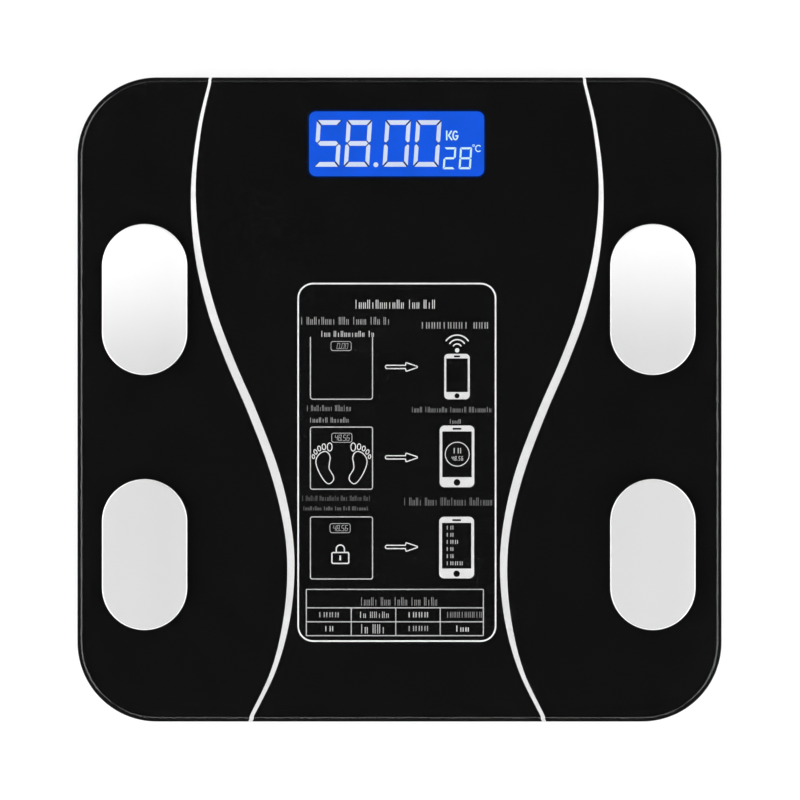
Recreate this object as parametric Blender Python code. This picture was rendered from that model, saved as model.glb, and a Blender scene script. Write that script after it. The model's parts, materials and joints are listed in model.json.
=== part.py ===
"""A digital bathroom scale: a printed glass platform on a plastic tray that stands on four load cells.

Metres, +Z up. The origin is the middle of the footprint, on the floor under the four foot pads.
+Y points at the display end (the rear), -Y at the person's end (the front), and X to the right.
Pieces that meet are 0.3 mm apart.
"""

from math import cos, pi, radians, sin

import bmesh
import bpy
from mathutils import Vector

MM = 0.001
GAP = 0.3 * MM  # between faces that rest on each other

# Plan sizes
GLASS_SIZE = 260 * MM
GLASS_CORNER = 32 * MM
SHELL_INSET = 6 * MM  # glass overhang past the shell
SHELL_SIZE = GLASS_SIZE - 2 * SHELL_INSET
SHELL_CORNER = GLASS_CORNER - SHELL_INSET
CELL_CENTRE = 93 * MM  # load cells and feet, from both middle lines

# Heights
SHELL_BOTTOM = 5.0 * MM
FLOOR = 2.0 * MM
FLOOR_TOP = SHELL_BOTTOM + FLOOR
RIM_TOP = 18.4 * MM
TAPE = 0.5 * MM
GLASS_BOTTOM = RIM_TOP + GAP + TAPE + GAP
GLASS = 5.0 * MM
GLASS_TOP = GLASS_BOTTOM + GLASS
ELECTRODE = 0.4 * MM
ELECTRODE_BOTTOM = GLASS_TOP + GAP

# Electrodes
ELECTRODE_WIDTH = 34.4 * MM
ELECTRODE_LENGTH = 60.9 * MM
ELECTRODE_X = 102.5 * MM
ELECTRODE_SHIFT = -0.3 * MM  # their middle line, from the glass's
ELECTRODE_Y = {"rear": 40.35 * MM, "front": -62.55 * MM}
STUD_RADIUS = 1.5 * MM
STUD_BOTTOM = 18.2 * MM
STUD_HOLE = 2.0 * MM

# Feet and load cells
PAD_RADIUS = 18.0 * MM
PAD = 2.4 * MM
FOOT_RADIUS = 21.0 * MM
HUB_RADIUS = 6.0 * MM
CELL_SIZE = 34 * MM
CELL_BOTTOM = 9.0 * MM
CELL = 1.6 * MM
CELL_TOP = CELL_BOTTOM + CELL
RETAINER = 1.5 * MM
RETAINER_SIZE = 39 * MM
RETAINER_BOTTOM = CELL_TOP + GAP
RETAINER_BOSS = 24 * MM  # the retainer's screw, from the cell's centre towards the middle

# Display and board
LCD_X = -1.1 * MM
LCD_Y = 103.3 * MM
LCD_SIZE = (74 * MM, 30 * MM)
LCD = 1.8 * MM
LCD_TOP = GLASS_BOTTOM - GAP
LCD_BOTTOM = LCD_TOP - LCD
BACKLIGHT = 2.6 * MM
BACKLIGHT_BOTTOM = LCD_BOTTOM - GAP - BACKLIGHT
BOARD = 1.0 * MM
BOARD_TOP = BACKLIGHT_BOTTOM - GAP
BOARD_BOTTOM = BOARD_TOP - BOARD
BOARD_SIZE = (100 * MM, 46 * MM)
BOARD_Y = 97 * MM
BOARD_SCREWS = [(x * MM, y * MM) for x in (-46, 46) for y in (78, 116)]
DISPLAY_NOTCH = (50 * MM, 120.4 * MM)  # half width and rear edge of the room made in the rim

# Unit button, under the board
BUTTON_AT = (22 * MM, 82 * MM)
BUTTON_RADIUS = 4.4 * MM
BUTTON_FLANGE = 6.0 * MM
BUTTON_TRAVEL = 0.6 * MM
BUTTON_BOTTOM = SHELL_BOTTOM - 0.4 * MM
BUTTON_TOP = FLOOR_TOP + GAP + 0.7 * MM

# Two AAA cells, side by side, in a bay under a door
BATTERY_RADIUS = 5.25 * MM
BATTERY_BODY = 43.7 * MM
BATTERY_NUB = (1.9 * MM, 0.8 * MM)  # radius and length
BATTERY_PITCH = 11.2 * MM
BATTERY_SHIFT = 1.35 * MM  # each cell lies this far towards its positive end
BAY_Y = -30 * MM
BAY_SIZE = (52.4 * MM, 27.6 * MM)
BAY_WALL = 1.5 * MM
BAY_ROOF = 17.8 * MM
BATTERY_Z = 12.25 * MM
DOOR_SIZE = (50 * MM, 23 * MM)
DOOR = 1.6 * MM
HINGE_Y = BAY_Y + DOOR_SIZE[1] / 2
CONTACT_X = 25.4 * MM  # inner face of the contact plates, each side of the middle
CONTACT = 0.4 * MM

# Screws
SCREW_HEAD = (2.8 * MM, 1.8 * MM)  # radius and height
SCREW_SHANK = 1.3 * MM
PILOT = SCREW_SHANK + 0.35 * MM
BOSS_RADIUS = 3.5 * MM

SIDES = {"left": -1, "right": 1}
ENDS = {"front": -1, "rear": 1}
CORNERS = [(f"{end}_{side}", SIDES[side], end) for end in ENDS for side in SIDES]


# ---------------------------------------------------------------- helpers


def empty_scene():
    for obj in list(bpy.data.objects):
        bpy.data.objects.remove(obj)


def paint(name, colour, roughness, metallic=0.0):
    """A material with one colour, made once."""
    if name in bpy.data.materials:
        return bpy.data.materials[name]
    made = bpy.data.materials.new(name)
    made.use_nodes = True
    shader = made.node_tree.nodes["Principled BSDF"]
    shader.inputs["Base Color"].default_value = (*colour, 1.0)
    shader.inputs["Roughness"].default_value = roughness
    shader.inputs["Metallic"].default_value = metallic
    return made


def black_glass():
    return paint("tempered_glass", (0.006, 0.006, 0.007), 0.05)


def steel():
    return paint("steel", (0.62, 0.62, 0.60), 0.35, 1.0)


def brass():
    return paint("plated_brass", (0.70, 0.66, 0.55), 0.3, 1.0)


def shell_plastic():
    return paint("shell_plastic", (0.030, 0.030, 0.032), 0.5)


def clear_plastic():
    return paint("light_guide", (0.75, 0.80, 0.85), 0.2)


def display_blue():
    return paint("display", (0.01, 0.10, 0.75), 0.15)


def rubber():
    return paint("pad_rubber", (0.05, 0.05, 0.05), 0.85)


def green_board():
    return paint("board", (0.02, 0.16, 0.06), 0.45)


def wire_jacket(colour):
    return paint("wire_" + colour, {"red": (0.5, 0.02, 0.02), "black": (0.02, 0.02, 0.02),
                                    "white": (0.75, 0.75, 0.72)}[colour], 0.5)


def node(name, mesh, material):
    """An object of the part, from a finished mesh, shaded smooth except over its edges."""
    made = bpy.data.objects.new(name, mesh)
    bpy.context.scene.collection.objects.link(made)
    mesh.materials.append(material)
    mesh.shade_smooth()
    mesh.set_sharp_from_angle(angle=radians(35))
    return made


def tool(name, mesh):
    """A solid that only cuts or adds to another."""
    made = bpy.data.objects.new(name, mesh)
    bpy.context.scene.collection.objects.link(made)
    made.hide_render = True
    made.display_type = "WIRE"
    return made


def boolean(target, tools, operation):
    """One exact Boolean of the target with a list of tool objects."""
    group = bpy.data.collections.new(f"{target.name}_{operation.lower()}")
    for each in tools:
        group.objects.link(each)
    modifier = target.modifiers.new(operation.title(), "BOOLEAN")
    modifier.operand_type = "COLLECTION"
    modifier.collection = group
    modifier.operation = operation
    modifier.solver = "EXACT"


def rounded_rectangle(width, depth, radius, steps=8):
    """Outline points, anticlockwise, with steps segments in each round corner."""
    points = []
    for turn, (sx, sy) in enumerate([(1, 1), (-1, 1), (-1, -1), (1, -1)]):
        middle = Vector((sx * (width / 2 - radius), sy * (depth / 2 - radius)))
        for step in range(steps + 1):
            angle = pi / 2 * (turn + step / steps)
            points.append(middle + radius * Vector((cos(angle), sin(angle))))
    return points


def circle(radius, segments):
    return [Vector((radius * cos(a), radius * sin(a)))
            for a in (2 * pi * k / segments for k in range(segments))]


def loft(name, rings):
    """A closed mesh through rings of the same number of points, capped at both ends.

    Each ring is (outline, height), and the rings run outwards and upwards from the bottom cap.
    """
    mesh = bpy.data.meshes.new(name)
    bm = bmesh.new()
    loops = [[bm.verts.new((x, y, z)) for x, y in outline] for outline, z in rings]
    count = len(loops[0])
    for low, high in zip(loops, loops[1:]):
        for k in range(count):
            n = (k + 1) % count
            bm.faces.new((low[k], low[n], high[n], high[k]))
    bm.faces.new(list(reversed(loops[0])))
    bm.faces.new(loops[-1])
    bm.to_mesh(mesh)
    bm.free()
    return mesh


def moved(outline, at):
    return [Vector(p) + Vector(at) for p in outline]


def plate_mesh(name, outline, low, high, edge=0.0):
    """An outline extruded from low to high, with an edge chamfer on its top when edge is given."""
    rings = [(outline, low), (outline, high)]
    if edge:
        middle = sum(outline, Vector((0, 0))) / len(outline)
        box = [max(abs((p - middle)[i]) for p in outline) for i in (0, 1)]
        small = [middle + Vector([(p - middle)[i] * (1 - edge / box[i]) for i in (0, 1)]) for p in outline]
        rings = [(outline, low), (outline, high - edge), (small, high)]
    return loft(name, rings)


def box_mesh(name, low, high):
    """A box between two opposite corners."""
    corners = ((low[0], low[1]), (high[0], low[1]), (high[0], high[1]), (low[0], high[1]))
    outline = [Vector(corner) for corner in corners]
    return loft(name, [(outline, low[2]), (outline, high[2])])


def disc_mesh(name, at, radius, low, high, segments=20):
    return loft(name, [(moved(circle(radius, segments), at), z) for z in (low, high)])


def frame_mesh(name, outer, inner, low, high):
    """A ring between two outlines of the same number of points."""
    mesh = bpy.data.meshes.new(name)
    bm = bmesh.new()
    walls = [(inner, high), (inner, low), (outer, low), (outer, high)]
    loops = [[bm.verts.new((x, y, z)) for x, y in outline] for outline, z in walls]
    count = len(outer)
    for a, b in zip(loops, loops[1:] + loops[:1]):
        for k in range(count):
            n = (k + 1) % count
            bm.faces.new((a[k], a[n], b[n], b[k]))
    bm.to_mesh(mesh)
    bm.free()
    return mesh


def turned_mesh(name, profile, segments):
    """A profile of (radius, height) points turned about Z, from the bottom pole to the top pole."""
    mesh = bpy.data.meshes.new(name)
    bm = bmesh.new()
    poles = [bm.verts.new((0, 0, profile[0][1])), bm.verts.new((0, 0, profile[-1][1]))]
    loops = [[bm.verts.new((x, y, z)) for x, y in circle(r, segments)] for r, z in profile[1:-1]]
    for low, high in zip(loops, loops[1:]):
        for k in range(segments):
            n = (k + 1) % segments
            bm.faces.new((low[k], low[n], high[n], high[k]))
    for k in range(segments):
        n = (k + 1) % segments
        bm.faces.new((poles[0], loops[0][n], loops[0][k]))
        bm.faces.new((poles[1], loops[-1][k], loops[-1][n]))
    bm.to_mesh(mesh)
    bm.free()
    return mesh


def rounded_path(corners, radius, steps=2):
    """A polyline through corner points with each inner corner rounded off."""
    corners = [Vector(p) for p in corners]
    path = [corners[0]]
    for before, corner, after in zip(corners, corners[1:], corners[2:]):
        cut = min(radius, (before - corner).length * 0.45, (after - corner).length * 0.45)
        start = corner + (before - corner).normalized() * cut
        end = corner + (after - corner).normalized() * cut
        for step in range(steps + 1):
            t = step / steps
            path.append(start * (1 - t) ** 2 + corner * 2 * t * (1 - t) + end * t ** 2)
    return path + [corners[-1]]


def tube(name, points, radius, material):
    """A round wire through points, as a curve with filled ends."""
    curve = bpy.data.curves.new(name, "CURVE")
    curve.dimensions = "3D"
    curve.bevel_depth = radius
    curve.bevel_resolution = 2
    curve.use_fill_caps = True
    spline = curve.splines.new("POLY")
    spline.points.add(len(points) - 1)
    for target, point in zip(spline.points, points):
        target.co = (*point, 1.0)
    curve.materials.append(material)
    made = bpy.data.objects.new(name, curve)
    bpy.context.scene.collection.objects.link(made)
    return made


# ---------------------------------------------------------------- platform


def electrode_middle(sx, end):
    """The x and y of an electrode's middle."""
    return ELECTRODE_SHIFT + sx * ELECTRODE_X, ELECTRODE_Y[end]


def glass_platform():
    """The glass: a round-cornered square with ground edges, and a hole for each electrode's stud."""
    top_edge, bottom_edge = 1.8 * MM, 0.7 * MM
    rings = []
    for inset, z in [(bottom_edge, GLASS_BOTTOM), (0, GLASS_BOTTOM + bottom_edge),
                     (0, GLASS_TOP - 0.5 * top_edge), (0.7 * top_edge, GLASS_TOP - 0.1 * MM),
                     (top_edge, GLASS_TOP)]:
        size = GLASS_SIZE - 2 * inset
        rings.append((rounded_rectangle(size, size, GLASS_CORNER - inset, 12), z))
    made = node("glass_platform", loft("glass_platform", rings), black_glass())
    holes = [tool(f"stud_hole_{corner}", disc_mesh("stud_hole", electrode_middle(sx, end), STUD_HOLE,
                                                   GLASS_BOTTOM - MM, GLASS_TOP + MM, 16))
             for corner, sx, end in CORNERS]
    boolean(made, holes, "DIFFERENCE")


def electrodes():
    """Stadium-shaped metal plates on the glass, each with a stud down through its hole."""
    for corner, sx, end in CORNERS:
        at = electrode_middle(sx, end)
        round_end = ELECTRODE_WIDTH / 2 - 0.01 * MM
        outline = moved(rounded_rectangle(ELECTRODE_WIDTH, ELECTRODE_LENGTH, round_end, 10), at)
        mesh = plate_mesh("electrode", outline, ELECTRODE_BOTTOM, ELECTRODE_BOTTOM + ELECTRODE, 0.12 * MM)
        made = node(f"electrode_{corner}", mesh, steel())
        stud = tool(f"stud_{corner}", disc_mesh("stud", at, STUD_RADIUS, STUD_BOTTOM,
                                                ELECTRODE_BOTTOM + ELECTRODE / 2, 16))
        boolean(made, [stud], "UNION")


def display_notch(name):
    """Room for the display in the rim or the tape."""
    half, rear = DISPLAY_NOTCH
    return tool(name, box_mesh("notch", (-half, rear - 20 * MM, 16 * MM), (half, rear, GLASS_BOTTOM)))


def bonding_tape():
    """Foam tape between the shell's rim and the glass."""
    outlines = [rounded_rectangle(SHELL_SIZE - 2 * inset, SHELL_SIZE - 2 * inset, SHELL_CORNER - inset)
                for inset in (1.5 * MM, 8 * MM)]
    mesh = frame_mesh("bonding_tape", *outlines, RIM_TOP + GAP, RIM_TOP + GAP + TAPE)
    made = node("bonding_tape", mesh, paint("foam_tape", (0.08, 0.08, 0.08), 0.9))
    boolean(made, [display_notch("tape_notch")], "DIFFERENCE")


# ---------------------------------------------------------------- base shell


def shell_tray():
    """The tray without its inner features: a tapered wall, a rounded lower edge and an inward rim."""
    profile = [(6.5, 5.0), (4.2, 5.35), (3.0, 6.3), (2.4, 8.0), (0.0, 17.6), (0.0, 18.4),
               (9.0, 18.4), (9.0, 16.4), (2.4, 16.4), (4.6, 8.2), (6.0, 7.0)]
    rings = []
    for inset, z in profile:
        side = SHELL_SIZE - 2 * inset * MM
        rings.append((rounded_rectangle(side, side, SHELL_CORNER - inset * MM), z * MM))
    return loft("base_shell", rings)


def bay_box(grow, low, high):
    """A box round the battery bay's inside, grown sideways."""
    half = [s / 2 + grow for s in BAY_SIZE]
    return ((-half[0], BAY_Y - half[1], low), (half[0], BAY_Y + half[1], high))


def shell_adders():
    """What stands on the tray's floor: bay, pockets, ledges, bosses, ribs and the button's guide."""
    sunk = SHELL_BOTTOM + MM  # adders start inside the floor
    parts = [("bay", box_mesh("bay", *bay_box(BAY_WALL, sunk, BAY_ROOF + MM)))]
    for corner, sx, end in CORNERS:
        x, y = sx * CELL_CENTRE, ENDS[end] * CELL_CENTRE
        inner, outer = CELL_SIZE / 2 + 0.5 * MM, CELL_SIZE / 2 + 2.1 * MM
        walls = [rounded_rectangle(2 * half, 2 * half, 1.5 * MM, 1) for half in (outer, inner)]
        pocket = frame_mesh("pocket", *(moved(w, (x, y)) for w in walls), sunk, CELL_TOP)
        parts.append((f"pocket_{corner}", pocket))
        for side in (-1, 1):
            ledge_x = x + side * (inner - MM)
            ledge = box_mesh("ledge", (ledge_x - 2 * MM, y - 14 * MM, sunk),
                             (ledge_x + 2 * MM, y + 14 * MM, CELL_BOTTOM - GAP))
            parts.append((f"ledge_{corner}_{side}", ledge))
        boss_at = (x - sx * RETAINER_BOSS, y - ENDS[end] * RETAINER_BOSS)
        parts.append((f"retainer_boss_{corner}", disc_mesh("boss", boss_at, BOSS_RADIUS, sunk, CELL_TOP, 12)))
    for number, at in enumerate(BOARD_SCREWS):
        boss = disc_mesh("boss", at, BOSS_RADIUS, sunk, BOARD_BOTTOM - GAP, 12)
        parts.append((f"board_boss_{number}", boss))
    guide = disc_mesh("guide", BUTTON_AT, BUTTON_FLANGE + 2 * MM, sunk, FLOOR_TOP + 1.8 * MM)
    parts.append(("button_guide", guide))
    rib, top, far, cross = 0.7 * MM, FLOOR_TOP + 4 * MM, 62 * MM, 50 * MM
    front = -66 * MM
    for name, low, high in [
        ("rib_rear", (-far, cross - rib), (far, cross + rib)),
        ("rib_front", (-far, front - rib), (far, front + rib)),
        ("rib_left", (-far - rib, front), (-far + rib, cross)),
        ("rib_right", (far - rib, front), (far + rib, cross)),
        ("rib_bay_left", (-far, BAY_Y - rib), (-BAY_SIZE[0] / 2 - MM, BAY_Y + rib)),
        ("rib_bay_right", (BAY_SIZE[0] / 2 + MM, BAY_Y - rib), (far, BAY_Y + rib)),
        ("rib_middle_rear", (-rib, BAY_Y + BAY_SIZE[1] / 2 + MM), (rib, cross)),
        ("rib_middle_front", (-rib, front), (rib, BAY_Y - BAY_SIZE[1] / 2 - MM)),
    ]:
        parts.append((name, box_mesh(name, (*low, sunk), (*high, top))))
    return [tool(name, mesh) for name, mesh in parts]


def shell_cutters():
    """What is taken out of the tray: the bay, the door's and feet's openings, and all the small holes."""
    below = SHELL_BOTTOM - MM
    door = [s / 2 + GAP for s in DOOR_SIZE]
    parts = [("bay_inside", box_mesh("bay_inside", *bay_box(0, FLOOR_TOP, BAY_ROOF))),
             ("door_opening", box_mesh("door_opening", (-door[0], BAY_Y - door[1], below),
                                       (door[0], BAY_Y + door[1], FLOOR_TOP + 0.5 * MM))),
             ("finger_notch", disc_mesh("finger_notch", (0, BAY_Y - door[1]), 8 * MM, below,
                                        SHELL_BOTTOM + 0.9 * MM)),
             ("label_recess", box_mesh("label_recess", (-26 * MM, 12 * MM, below),
                                       (26 * MM, 42 * MM, SHELL_BOTTOM + GAP)))]
    for side in (-1, 1):
        lead_y = BAY_Y + side * BATTERY_PITCH / 2
        notch = box_mesh("lead_notch", (BAY_SIZE[0] / 2 - MM, lead_y - 2 * MM, 13 * MM),
                         (BAY_SIZE[0] / 2 + 3 * MM, lead_y + 2 * MM, 16 * MM))
        parts.append((f"lead_notch_{side}", notch))
    for corner, sx, end in CORNERS:
        at = (sx * CELL_CENTRE, ENDS[end] * CELL_CENTRE)
        boss_at = tuple(c - s * RETAINER_BOSS for c, s in zip(at, (sx, ENDS[end])))
        parts.append((f"foot_recess_{corner}", disc_mesh("recess", at, FOOT_RADIUS + 2 * MM, below,
                                                         SHELL_BOTTOM + 0.6 * MM, 28)))
        parts.append((f"foot_opening_{corner}", disc_mesh("opening", at, HUB_RADIUS + 3 * MM, below,
                                                          FLOOR_TOP + MM)))
        parts.append((f"retainer_pilot_{corner}", disc_mesh("pilot", boss_at, PILOT, FLOOR_TOP + 0.2 * MM,
                                                            CELL_TOP + MM, 12)))
    for number, at in enumerate(BOARD_SCREWS):
        pilot = disc_mesh("pilot", at, PILOT, FLOOR_TOP + 0.2 * MM, BOARD_TOP, 12)
        parts.append((f"board_pilot_{number}", pilot))
    hole = disc_mesh("hole", BUTTON_AT, BUTTON_RADIUS + 0.35 * MM, below, FLOOR_TOP + MM)
    parts.append(("button_hole", hole))
    parts.append(("button_seat", disc_mesh("seat", BUTTON_AT, BUTTON_FLANGE + 0.5 * MM, FLOOR_TOP,
                                           FLOOR_TOP + 3 * MM)))
    return [display_notch("rim_notch"), *(tool(name, mesh) for name, mesh in parts)]


def base_shell():
    made = node("base_shell", shell_tray(), shell_plastic())
    boolean(made, shell_adders(), "UNION")
    boolean(made, shell_cutters(), "DIFFERENCE")


# ---------------------------------------------------------------- feet and load cells


def load_cell_mesh():
    """A square steel plate, slotted in a U so that a tongue is left, which the foot pushes."""
    half = CELL_SIZE / 2
    outline = rounded_rectangle(CELL_SIZE, CELL_SIZE, 3 * MM, 2)
    return plate_mesh("load_cell", outline, CELL_BOTTOM, CELL_TOP), [
        box_mesh("slot", (-9 * MM, -10 * MM, 0), (-7 * MM, half - 5 * MM, 0.02)),
        box_mesh("slot", (7 * MM, -10 * MM, 0), (9 * MM, half - 5 * MM, 0.02)),
        box_mesh("slot", (-8 * MM, -10 * MM, 0), (8 * MM, -8 * MM, 0.02)),
    ]


def load_cells():
    for corner, sx, end in CORNERS:
        at = Vector((sx * CELL_CENTRE, ENDS[end] * CELL_CENTRE, 0))
        mesh, slots = load_cell_mesh()
        made = node(f"load_cell_{corner}", mesh, steel())
        made.location = at
        cutters = [tool(f"slot_{corner}_{k}", slot) for k, slot in enumerate(slots)]
        gauge = tool(f"gauge_{corner}", box_mesh("gauge", (-5 * MM, 4 * MM, CELL_TOP - 0.4 * MM),
                                                 (5 * MM, 10 * MM, CELL_TOP + 0.8 * MM)))
        for each in [*cutters, gauge]:
            each.location = at
        boolean(made, [gauge], "UNION")
        boolean(made, cutters, "DIFFERENCE")


def load_cell_retainers():
    """A frame over each cell's border, with a tab to its screw boss."""
    half = RETAINER_SIZE / 2
    top = RETAINER_BOTTOM + RETAINER
    for corner, sx, end in CORNERS:
        at = Vector((sx * CELL_CENTRE, ENDS[end] * CELL_CENTRE, 0))
        to_boss = Vector((-sx, -ENDS[end], 0)) * RETAINER_BOSS
        outer = rounded_rectangle(RETAINER_SIZE, RETAINER_SIZE, 3 * MM, 2)
        inner = rounded_rectangle(26 * MM, 26 * MM, 2 * MM, 2)
        ring = frame_mesh("retainer", outer, inner, RETAINER_BOTTOM, top)
        made = node(f"load_cell_retainer_{corner}", ring, shell_plastic())
        made.location = at
        corner_at = Vector((-sx, -ENDS[end], 0)) * (half - 3 * MM)
        tab_low = Vector([min(a, b) for a, b in zip(corner_at, to_boss)]) - Vector((1.5, 1.5, 0)) * MM
        tab_high = Vector([max(a, b) for a, b in zip(corner_at, to_boss)]) + Vector((1.5, 1.5, 0)) * MM
        tab = tool(f"retainer_tab_{corner}", box_mesh("tab", (*tab_low.xy, RETAINER_BOTTOM + 0.1 * MM),
                                                      (*tab_high.xy, top - 0.1 * MM)))
        eye = tool(f"retainer_eye_{corner}",
                   disc_mesh("eye", to_boss.xy, BOSS_RADIUS, RETAINER_BOTTOM, top, 12))
        hole = tool(f"retainer_hole_{corner}", disc_mesh("hole", to_boss.xy, PILOT, 0, 0.02, 12))
        for each in (tab, eye, hole):
            each.location = at
        boolean(made, [tab, eye], "UNION")
        boolean(made, [hole], "DIFFERENCE")


def feet():
    """Plastic discs whose hubs reach up to the cells' tongues, each with a rubber pad in its underside."""
    seat = PAD + GAP
    foot = [(0, seat), (PAD_RADIUS + 0.4 * MM, seat), (PAD_RADIUS + 0.4 * MM, 1.5 * MM),
            (FOOT_RADIUS - 0.8 * MM, 1.5 * MM), (FOOT_RADIUS, 2.3 * MM), (FOOT_RADIUS, 3.5 * MM),
            (FOOT_RADIUS - 0.6 * MM, 4.1 * MM), (HUB_RADIUS, 4.1 * MM), (HUB_RADIUS, CELL_BOTTOM - GAP),
            (0, CELL_BOTTOM - GAP)]
    groove = 0.5 * MM
    pad = [(0, 0), (9.0 * MM, 0), (9.0 * MM, groove), (11.0 * MM, groove), (11.0 * MM, 0),
           (PAD_RADIUS - 0.6 * MM, 0), (PAD_RADIUS, 0.6 * MM), (PAD_RADIUS, PAD), (0, PAD)]
    foot_mesh = turned_mesh("foot", foot, 28)
    pad_mesh = turned_mesh("foot_pad", pad, 28)
    for corner, sx, end in CORNERS:
        at = (sx * CELL_CENTRE, ENDS[end] * CELL_CENTRE, 0)
        node(f"foot_{corner}", foot_mesh.copy(), shell_plastic()).location = at
        node(f"foot_pad_{corner}", pad_mesh.copy(), rubber()).location = at


# ---------------------------------------------------------------- screws


def screw(name, at, seat):
    """A pan-head screw with a cross recess, its head resting a gap above seat."""
    radius, height = SCREW_HEAD
    under = seat + GAP
    profile = [(0, under - 5.2 * MM), (SCREW_SHANK, under - 4.2 * MM), (SCREW_SHANK, under), (radius, under),
               (radius, under + 0.4 * height), (0.7 * radius, under + height), (0, under + height)]
    made = node(name, turned_mesh("screw", profile, 12), steel())
    made.location = (*at, 0)
    low, high = under + 0.5 * height, under + 2 * height
    bars = [tool(f"{name}_cross_{k}", box_mesh("bar", (-x, -y, low), (x, y, high)))
            for k, (x, y) in enumerate(((1.5 * MM, 0.3 * MM), (0.3 * MM, 1.5 * MM)))]
    for each in bars:
        each.location = made.location
    boolean(made, bars, "DIFFERENCE")


def screws():
    for corner, sx, end in CORNERS:
        at = (sx * (CELL_CENTRE - RETAINER_BOSS), ENDS[end] * (CELL_CENTRE - RETAINER_BOSS))
        screw(f"retainer_screw_{corner}", at, RETAINER_BOTTOM + RETAINER)
    for (x, y), place in zip(BOARD_SCREWS, ("front_left", "rear_left", "front_right", "rear_right")):
        screw(f"board_screw_{place}", (x, y), BOARD_TOP)


# ---------------------------------------------------------------- display and electronics


def main_board():
    outline = moved(rounded_rectangle(*BOARD_SIZE, 2 * MM, 2), (0, BOARD_Y))
    made = node("main_board", plate_mesh("main_board", outline, BOARD_BOTTOM, BOARD_TOP), green_board())
    holes = [tool(f"board_hole_{k}", disc_mesh("hole", at, PILOT, BOARD_BOTTOM - MM, BOARD_TOP + MM, 12))
             for k, at in enumerate(BOARD_SCREWS)]
    boolean(made, holes, "DIFFERENCE")


def display():
    """The display panel in its frame, over the backlight, joined to the board by an elastomer strip."""
    width, depth = LCD_SIZE
    at = (LCD_X, LCD_Y)
    panel = moved(rounded_rectangle(width, depth, 0.6 * MM, 2), at)
    node("lcd_panel", plate_mesh("lcd_panel", panel, LCD_BOTTOM, LCD_TOP), display_blue())
    strip = 3.0 * MM
    low_y = LCD_Y - depth / 2 + strip + GAP
    light = box_mesh("lcd_backlight", (LCD_X - width / 2 + MM, low_y, BACKLIGHT_BOTTOM),
                     (LCD_X + width / 2 - MM, LCD_Y + depth / 2 - MM, BACKLIGHT_BOTTOM + BACKLIGHT))
    node("lcd_backlight", light, clear_plastic())
    link = box_mesh("lcd_connector",
                    (LCD_X - width / 2 + 3 * MM, LCD_Y - depth / 2 + 0.8 * MM, BACKLIGHT_BOTTOM),
                    (LCD_X + width / 2 - 3 * MM, low_y - 0.6 * MM, BACKLIGHT_BOTTOM + BACKLIGHT))
    node("lcd_connector", link, paint("elastomer", (0.45, 0.40, 0.35), 0.7))
    outer = rounded_rectangle(width + 3.4 * MM, depth + 3.4 * MM, 2 * MM, 2)
    inner = rounded_rectangle(width + 0.6 * MM, depth + 0.6 * MM, 0.8 * MM, 2)
    frame = frame_mesh("lcd_frame", moved(outer, at), moved(inner, at), BACKLIGHT_BOTTOM, LCD_TOP)
    node("lcd_frame", frame, shell_plastic())


def board_parts():
    """What hangs under the board: the controller, the wireless module and the unit button's switch."""
    under = BOARD_BOTTOM - GAP
    blob = [(0, under - 1.4 * MM), (3 * MM, under - 1.2 * MM), (5 * MM, under - 0.7 * MM),
            (6 * MM, under), (0, under)]
    chip = node("controller_chip", turned_mesh("controller_chip", blob, 20),
                paint("epoxy", (0.01, 0.01, 0.01), 0.3))
    chip.location = (-6 * MM, 100 * MM, 0)
    module = moved(rounded_rectangle(11 * MM, 15 * MM, 0.5 * MM, 1), (-32 * MM, 104 * MM))
    node("wireless_module", plate_mesh("wireless_module", module, under - 1.9 * MM, under), steel())
    bottom = BUTTON_TOP + BUTTON_TRAVEL + 0.1 * MM
    body = moved(rounded_rectangle(6 * MM, 6 * MM, 0.5 * MM, 1), BUTTON_AT)
    switch = node("tact_switch", plate_mesh("tact_switch", body, bottom + 0.9 * MM, under), shell_plastic())
    plunger = tool("switch_plunger", disc_mesh("plunger", BUTTON_AT, 1.75 * MM, bottom, bottom + 2 * MM, 16))
    boolean(switch, [plunger], "UNION")


def unit_button():
    """A round push button through the floor, held in by its flange."""
    radius = BUTTON_RADIUS
    profile = [(0, BUTTON_BOTTOM + 0.25 * MM), (0.55 * radius, BUTTON_BOTTOM + 0.15 * MM),
               (radius - 0.4 * MM, BUTTON_BOTTOM), (radius, BUTTON_BOTTOM + 0.4 * MM),
               (radius, FLOOR_TOP + GAP), (BUTTON_FLANGE, FLOOR_TOP + GAP), (BUTTON_FLANGE, BUTTON_TOP),
               (0, BUTTON_TOP)]
    made = node("unit_button", turned_mesh("unit_button", profile, 24),
                paint("button_plastic", (0.12, 0.12, 0.13), 0.4))
    made.location = (*BUTTON_AT, 0)


# ---------------------------------------------------------------- batteries


def batteries():
    """Two AAA cells side by side, pointing opposite ways."""
    nub_radius, nub = BATTERY_NUB
    body, radius = BATTERY_BODY, BATTERY_RADIUS
    low = -(body + nub) / 2
    profile = [(0, low), (radius - 0.5 * MM, low), (radius, low + 0.5 * MM), (radius, low + body - 0.5 * MM),
               (radius - 0.5 * MM, low + body), (nub_radius, low + body), (nub_radius, low + body + nub),
               (0, low + body + nub)]
    mesh = turned_mesh("battery", profile, 20)
    for name, side, way in (("battery_front", -1, 1), ("battery_rear", 1, -1)):
        made = node(name, mesh.copy(), paint("battery_sleeve", (0.05, 0.16, 0.10), 0.35, 0.3))
        made.rotation_euler = (0, way * pi / 2, 0)
        made.location = (way * BATTERY_SHIFT, BAY_Y + side * BATTERY_PITCH / 2, BATTERY_Z)


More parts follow.
